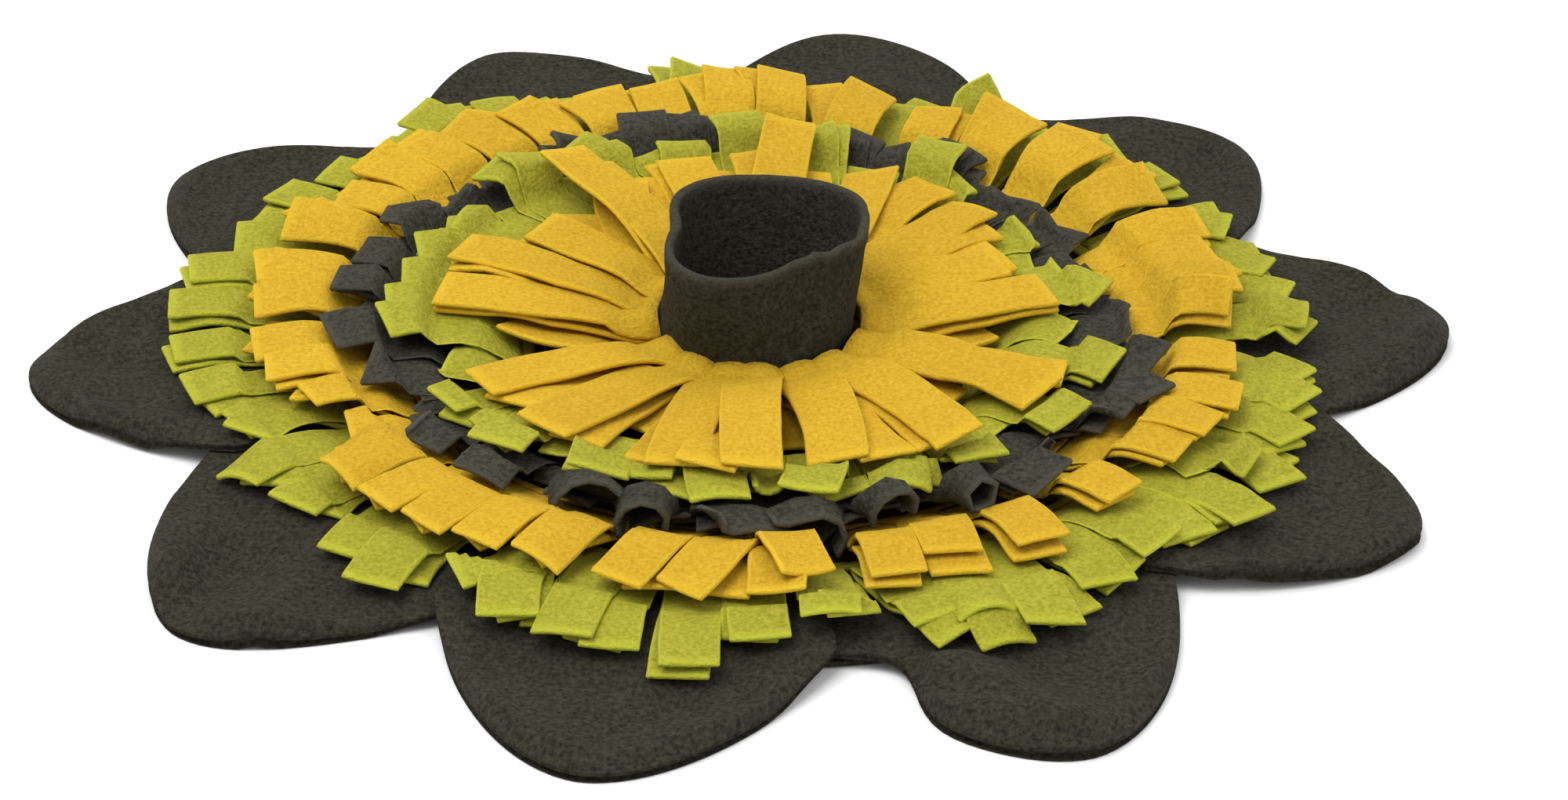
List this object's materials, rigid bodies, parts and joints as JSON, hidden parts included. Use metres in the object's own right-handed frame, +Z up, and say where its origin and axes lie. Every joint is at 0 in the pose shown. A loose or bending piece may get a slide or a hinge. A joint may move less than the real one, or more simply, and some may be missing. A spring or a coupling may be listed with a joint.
{
  "type": "snuffle mat",
  "caption": "Flower-shaped fleece snuffle mat: round base, soft turned petals, rings of shingled fleece strips and a short open cup in the middle, for hiding a dog's dry food.",
  "frame": {"origin": "middle of the round base's underside, on the floor", "axes": "+Z up out of the floor; +Y away from the viewer of the picture and +X to the right"},
  "size_m": [0.6418, 0.6498, 0.07],
  "materials": {
    "charcoal_fleece": "matt charcoal fleece, brushed",
    "petal_fleece": "matt charcoal fleece, brushed, turned and topstitched at the edge",
    "charcoal_strip_fleece": "matt charcoal fleece, brushed, cut edges",
    "lime_fleece": "matt lime green fleece, brushed, cut edges",
    "yellow_fleece": "matt warm yellow fleece, brushed, cut edges",
    "cup_fleece": "matt charcoal fleece, brushed, folded soft rim"
  },
  "bodies": {
    "root": {"base_disc": "charcoal_fleece", "petal_01": "petal_fleece", "petal_02": "petal_fleece", "petal_03": "petal_fleece", "petal_04": "petal_fleece", "petal_05": "petal_fleece", "petal_06": "petal_fleece", "petal_07": "petal_fleece", "petal_08": "petal_fleece", "petal_09": "petal_fleece", "petal_10": "petal_fleece", "fringe_1_lime_a": "lime_fleece", "fringe_1_lime_b": "lime_fleece", "fringe_1_lime_c": "lime_fleece", "fringe_1_lime_d": "lime_fleece", "fringe_2_yellow_a": "yellow_fleece", "fringe_2_yellow_b": "yellow_fleece", "fringe_2_yellow_c": "yellow_fleece", "fringe_2_yellow_d": "yellow_fleece", "fringe_3_charcoal_a": "charcoal_strip_fleece", "fringe_3_charcoal_b": "charcoal_strip_fleece", "fringe_3_charcoal_c": "charcoal_strip_fleece", "fringe_3_charcoal_d": "charcoal_strip_fleece", "fringe_4_lime_a": "lime_fleece", "fringe_4_lime_b": "lime_fleece", "fringe_4_lime_c": "lime_fleece", "fringe_4_lime_d": "lime_fleece", "fringe_5_yellow_a": "yellow_fleece", "fringe_5_yellow_b": "yellow_fleece", "fringe_5_yellow_c": "yellow_fleece", "fringe_5_yellow_d": "yellow_fleece", "cup": "cup_fleece"}
  },
  "joints": []
}
